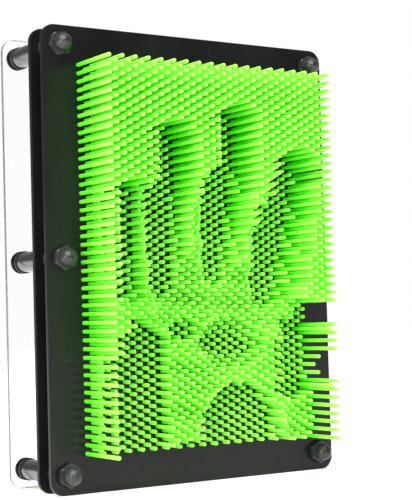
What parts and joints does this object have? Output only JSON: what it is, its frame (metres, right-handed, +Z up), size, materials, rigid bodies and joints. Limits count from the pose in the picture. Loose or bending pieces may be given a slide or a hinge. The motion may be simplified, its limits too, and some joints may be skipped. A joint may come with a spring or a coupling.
{
  "type": "pin art impression toy",
  "caption": "Upright desk toy: a bed of sliding green pins in black drilled plates keeps a hand's impression; a clear cover behind stops the pins.",
  "frame": {"origin": "middle of the footprint's bounding box, on the table under the plates", "axes": "+X across the plates, to the right seen from the pins' tips; +Y from the tips to the clear cover; +Z up"},
  "size_m": [0.15, 0.0698, 0.2],
  "materials": {
    "front_plate": "satin black, a little blurred reflection",
    "guide_plate": "satin black",
    "clear_acrylic": "clear, polished edges",
    "black_spacer": "moulded",
    "dark_tube": "smooth dark anodised",
    "black_washer": "black, moulded",
    "black_bolt": "black oxide",
    "black_nut": "satin moulded",
    "green_pin": "bright neon green, smooth"
  },
  "bodies": {
    "frame": {"front_plate": "front_plate", "guide_plate": "guide_plate", "clear_cover": "clear_acrylic", "plate_spacers": "black_spacer", "standoff_tubes": "dark_tube", "cover_washers": "black_washer", "bolts": "black_bolt", "cap_nuts": "black_nut"},
    "pins_free_top": {"pins_free_top": "green_pin"},
    "pins_free_left": {"pins_free_left": "green_pin"},
    "pins_free_right": {"pins_free_right": "green_pin"},
    "pins_free_between_fingers": {"pins_free_between_fingers": "green_pin"},
    "pins_pressed_little_finger": {"pins_pressed_little_finger": "green_pin"},
    "pins_pressed_ring_finger": {"pins_pressed_ring_finger": "green_pin"},
    "pins_pressed_middle_finger": {"pins_pressed_middle_finger": "green_pin"},
    "pins_pressed_index_finger": {"pins_pressed_index_finger": "green_pin"},
    "pins_pressed_palm_edge": {"pins_pressed_palm_edge": "green_pin"},
    "pins_pressed_palm_heel": {"pins_pressed_palm_heel": "green_pin"},
    "pins_pressed_thumb_ball": {"pins_pressed_thumb_ball": "green_pin"},
    "pins_fingers_step_2": {"pins_fingers_step_2": "green_pin"},
    "pins_fingers_step_3": {"pins_fingers_step_3": "green_pin"},
    "pins_fingers_step_4": {"pins_fingers_step_4": "green_pin"},
    "pins_fingers_step_5": {"pins_fingers_step_5": "green_pin"},
    "pins_fingers_step_6": {"pins_fingers_step_6": "green_pin"},
    "pins_fingers_step_7": {"pins_fingers_step_7": "green_pin"},
    "pins_fingers_step_8": {"pins_fingers_step_8": "green_pin"},
    "pins_palm_step_3": {"pins_palm_step_3": "green_pin"},
    "pins_palm_step_4": {"pins_palm_step_4": "green_pin"},
    "pins_palm_step_5": {"pins_palm_step_5": "green_pin"},
    "pins_palm_step_6": {"pins_palm_step_6": "green_pin"},
    "pins_palm_step_7": {"pins_palm_step_7": "green_pin"},
    "pins_palm_step_8": {"pins_palm_step_8": "green_pin"}
  },
  "joints": [
    {"name": "free_top_press", "type": "slide", "parent": "frame", "child": "pins_free_top", "axis": [0, 1, 0], "range_m": [0, 0.0234]},
    {"name": "free_left_press", "type": "slide", "parent": "frame", "child": "pins_free_left", "axis": [0, 1, 0], "range_m": [0, 0.0234]},
    {"name": "free_right_press", "type": "slide", "parent": "frame", "child": "pins_free_right", "axis": [0, 1, 0], "range_m": [0, 0.0234]},
    {"name": "free_between_fingers_press", "type": "slide", "parent": "frame", "child": "pins_free_between_fingers", "axis": [0, 1, 0], "range_m": [0, 0.0234]},
    {"name": "pressed_little_finger_press", "type": "slide", "parent": "frame", "child": "pins_pressed_little_finger", "axis": [0, 1, 0], "range_m": [-0.0234, 0]},
    {"name": "pressed_ring_finger_press", "type": "slide", "parent": "frame", "child": "pins_pressed_ring_finger", "axis": [0, 1, 0], "range_m": [-0.0234, 0]},
    {"name": "pressed_middle_finger_press", "type": "slide", "parent": "frame", "child": "pins_pressed_middle_finger", "axis": [0, 1, 0], "range_m": [-0.0234, 0]},
    {"name": "pressed_index_finger_press", "type": "slide", "parent": "frame", "child": "pins_pressed_index_finger", "axis": [0, 1, 0], "range_m": [-0.0234, 0]},
    {"name": "pressed_palm_edge_press", "type": "slide", "parent": "frame", "child": "pins_pressed_palm_edge", "axis": [0, 1, 0], "range_m": [-0.0234, 0]},
    {"name": "pressed_palm_heel_press", "type": "slide", "parent": "frame", "child": "pins_pressed_palm_heel", "axis": [0, 1, 0], "range_m": [-0.0234, 0]},
    {"name": "pressed_thumb_ball_press", "type": "slide", "parent": "frame", "child": "pins_pressed_thumb_ball", "axis": [0, 1, 0], "range_m": [-0.0234, 0]},
    {"name": "fingers_step_2_press", "type": "slide", "parent": "frame", "child": "pins_fingers_step_2", "axis": [0, 1, 0], "range_m": [-0.00549, 0.01786]},
    {"name": "fingers_step_3_press", "type": "slide", "parent": "frame", "child": "pins_fingers_step_3", "axis": [0, 1, 0], "range_m": [-0.00591, 0.01467]},
    {"name": "fingers_step_4_press", "type": "slide", "parent": "frame", "child": "pins_fingers_step_4", "axis": [0, 1, 0], "range_m": [-0.00892, 0.01181]},
    {"name": "fingers_step_5_press", "type": "slide", "parent": "frame", "child": "pins_fingers_step_5", "axis": [0, 1, 0], "range_m": [-0.01196, 0.00888]},
    {"name": "fingers_step_6_press", "type": "slide", "parent": "frame", "child": "pins_fingers_step_6", "axis": [0, 1, 0], "range_m": [-0.01463, 0.00585]},
    {"name": "fingers_step_7_press", "type": "slide", "parent": "frame", "child": "pins_fingers_step_7", "axis": [0, 1, 0], "range_m": [-0.01759, 0.00293]},
    {"name": "fingers_step_8_press", "type": "slide", "parent": "frame", "child": "pins_fingers_step_8", "axis": [0, 1, 0], "range_m": [-0.02047, 0]},
    {"name": "palm_step_3_press", "type": "slide", "parent": "frame", "child": "pins_palm_step_3", "axis": [0, 1, 0], "range_m": [-0.00864, 0.01475]},
    {"name": "palm_step_4_press", "type": "slide", "parent": "frame", "child": "pins_palm_step_4", "axis": [0, 1, 0], "range_m": [-0.00972, 0.01173]},
    {"name": "palm_step_5_press", "type": "slide", "parent": "frame", "child": "pins_palm_step_5", "axis": [0, 1, 0], "range_m": [-0.01173, 0.00877]},
    {"name": "palm_step_6_press", "type": "slide", "parent": "frame", "child": "pins_palm_step_6", "axis": [0, 1, 0], "range_m": [-0.01469, 0.00587]},
    {"name": "palm_step_7_press", "type": "slide", "parent": "frame", "child": "pins_palm_step_7", "axis": [0, 1, 0], "range_m": [-0.0176, 0.00301]},
    {"name": "palm_step_8_press", "type": "slide", "parent": "frame", "child": "pins_palm_step_8", "axis": [0, 1, 0], "range_m": [-0.02052, 0]}
  ]
}
